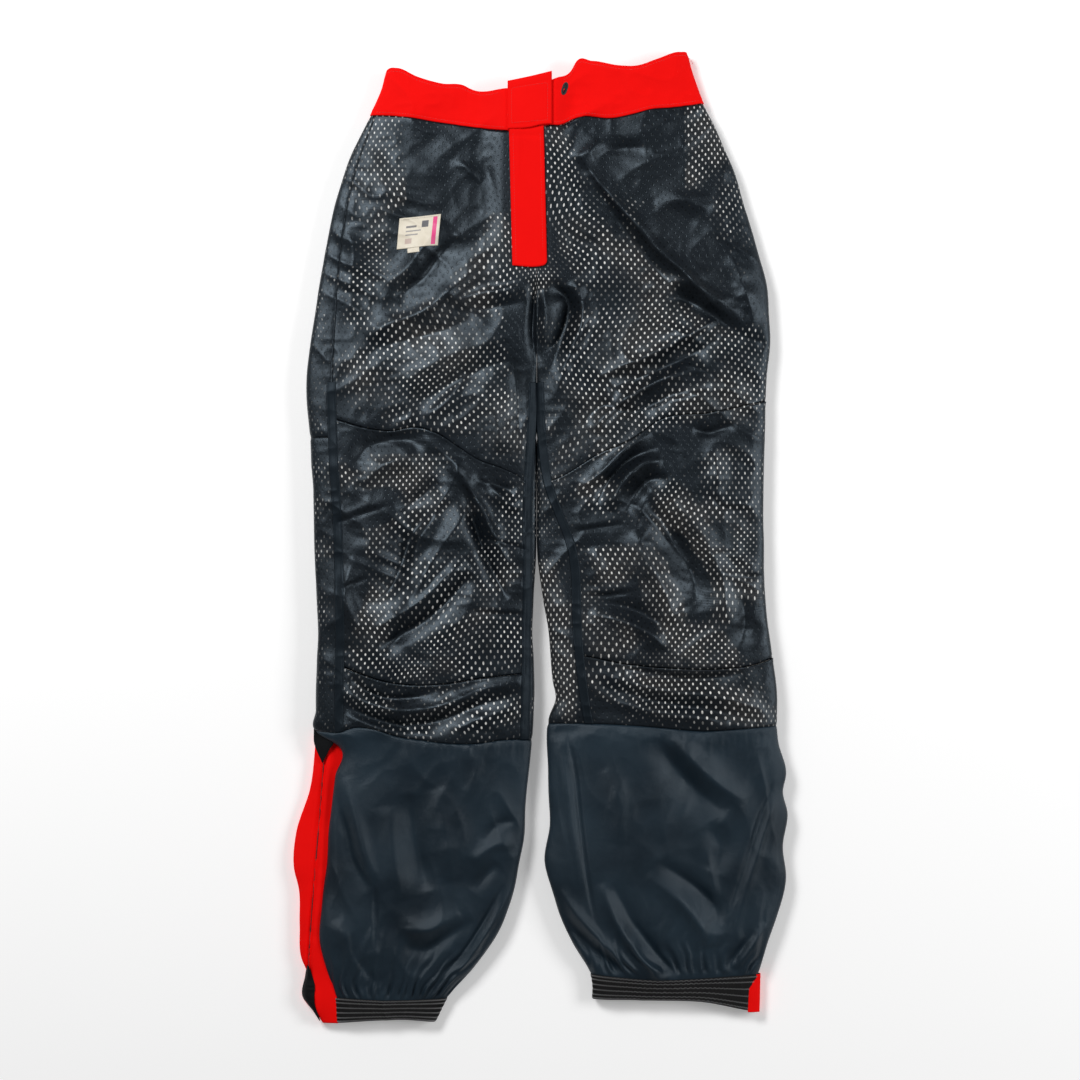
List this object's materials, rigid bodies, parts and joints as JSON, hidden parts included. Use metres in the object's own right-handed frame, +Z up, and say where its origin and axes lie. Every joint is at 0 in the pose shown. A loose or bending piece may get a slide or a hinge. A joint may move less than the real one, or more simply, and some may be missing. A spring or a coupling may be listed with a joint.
{
  "type": "lined winter sports trousers",
  "caption": "Lined winter sports trousers turned inside out and laid flat, with mesh lining, ankle gaiters, elastic cuffs, fly flap and folding legs.",
  "frame": {"origin": "middle of the footprint, on the surface that the garment lies on", "axes": "+Y from the hems to the waistband, +X to the right as the front is looked at, +Z up out of the front"},
  "size_m": [0.5174, 1.02, 0.0338],
  "materials": {
    "mesh_lining": "matt knitted mesh with rows of small eyelets",
    "pocket_cloth": "matt dark woven pocketing",
    "red_shell": "coated plain weave nylon, soft satin",
    "navy_nylon": "smooth downproof nylon, satin",
    "black_elastic": "ribbed knitted elastic, matt",
    "black_tape": "heat-pressed seam tape, semi matt",
    "label_satin": "woven satin label",
    "zip_cloth": "woven zip tape",
    "zip_plastic": "moulded teeth",
    "metal": "satin nickel"
  },
  "bodies": {
    "hips": {"waistband_front_left": "red_shell", "waistband_front_right": "red_shell", "waistband_back": "red_shell", "fly_shield": "red_shell", "snap_socket": "metal", "fly_zip_tape_left": "zip_cloth", "fly_zip_tape_right": "zip_cloth", "fly_zip_teeth_left": "zip_plastic", "fly_zip_teeth_right": "zip_plastic", "fly_zip_stop": "metal", "care_label": "label_satin", "size_tab": "label_satin", "hip_lining_front_left": "mesh_lining", "hip_lining_back_left": "mesh_lining", "hip_shell_front_left": "red_shell", "hip_shell_back_left": "red_shell", "pocket_bag_left": "pocket_cloth", "hip_lining_front_right": "mesh_lining", "hip_lining_back_right": "mesh_lining", "hip_shell_front_right": "red_shell", "hip_shell_back_right": "red_shell", "pocket_bag_right": "pocket_cloth"},
    "tab": {"waist_tab": "red_shell", "snap_stud": "metal"},
    "slider": {"fly_zip_slider": "metal"},
    "pull": {"fly_zip_pull": "metal"},
    "thigh_left": {"thigh_lining_front_left": "mesh_lining", "thigh_lining_back_left": "mesh_lining", "knee_panel_upper_left": "mesh_lining", "thigh_shell_left": "red_shell", "inseam_tape_thigh_left": "black_tape", "outseam_tape_thigh_left": "black_tape"},
    "shank_left": {"knee_panel_lower_left": "mesh_lining", "calf_lining_front_left": "mesh_lining", "calf_lining_back_left": "mesh_lining", "shank_shell_left": "red_shell", "ankle_shell_left": "red_shell", "gaiter_left": "navy_nylon", "cuff_left": "black_elastic", "inseam_tape_calf_left": "black_tape", "ankle_gusset_left": "red_shell", "outseam_tape_calf_left": "black_tape"},
    "thigh_right": {"thigh_lining_front_right": "mesh_lining", "thigh_lining_back_right": "mesh_lining", "knee_panel_upper_right": "mesh_lining", "thigh_shell_right": "red_shell", "inseam_tape_thigh_right": "black_tape"},
    "shank_right": {"knee_panel_lower_right": "mesh_lining", "calf_lining_front_right": "mesh_lining", "calf_lining_back_right": "mesh_lining", "shank_shell_right": "red_shell", "ankle_shell_right": "red_shell", "gaiter_right": "navy_nylon", "cuff_right": "black_elastic", "inseam_tape_calf_right": "black_tape", "ankle_gusset_right": "red_shell"}
  },
  "joints": [
    {"name": "hip_fold_left", "type": "hinge", "parent": "hips", "child": "thigh_left", "pos_m": [0, 0.173, 0.0311], "axis": [-1, 0, 0], "range_deg": [0, 95]},
    {"name": "knee_fold_left", "type": "hinge", "parent": "thigh_left", "child": "shank_left", "pos_m": [0, -0.017, 0.0311], "axis": [-1, 0, 0], "range_deg": [0, 105]},
    {"name": "hip_fold_right", "type": "hinge", "parent": "hips", "child": "thigh_right", "pos_m": [0, 0.173, 0.0311], "axis": [-1, 0, 0], "range_deg": [0, 95]},
    {"name": "knee_fold_right", "type": "hinge", "parent": "thigh_right", "child": "shank_right", "pos_m": [0, -0.017, 0.0311], "axis": [-1, 0, 0], "range_deg": [0, 105]},
    {"name": "waist_tab_open", "type": "hinge", "parent": "hips", "child": "tab", "pos_m": [-0.034, 0.46, 0.02935], "axis": [0, -1, 0], "range_deg": [0, 90]},
    {"name": "fly_slider_travel", "type": "slide", "parent": "hips", "child": "slider", "axis": [0, -1, 0], "range_m": [0, 0.117]},
    {"name": "fly_pull_swing", "type": "hinge", "parent": "slider", "child": "pull", "pos_m": [-0.012, 0.4225, 0.0241], "axis": [1, 0, 0], "range_deg": [0, 150]}
  ]
}
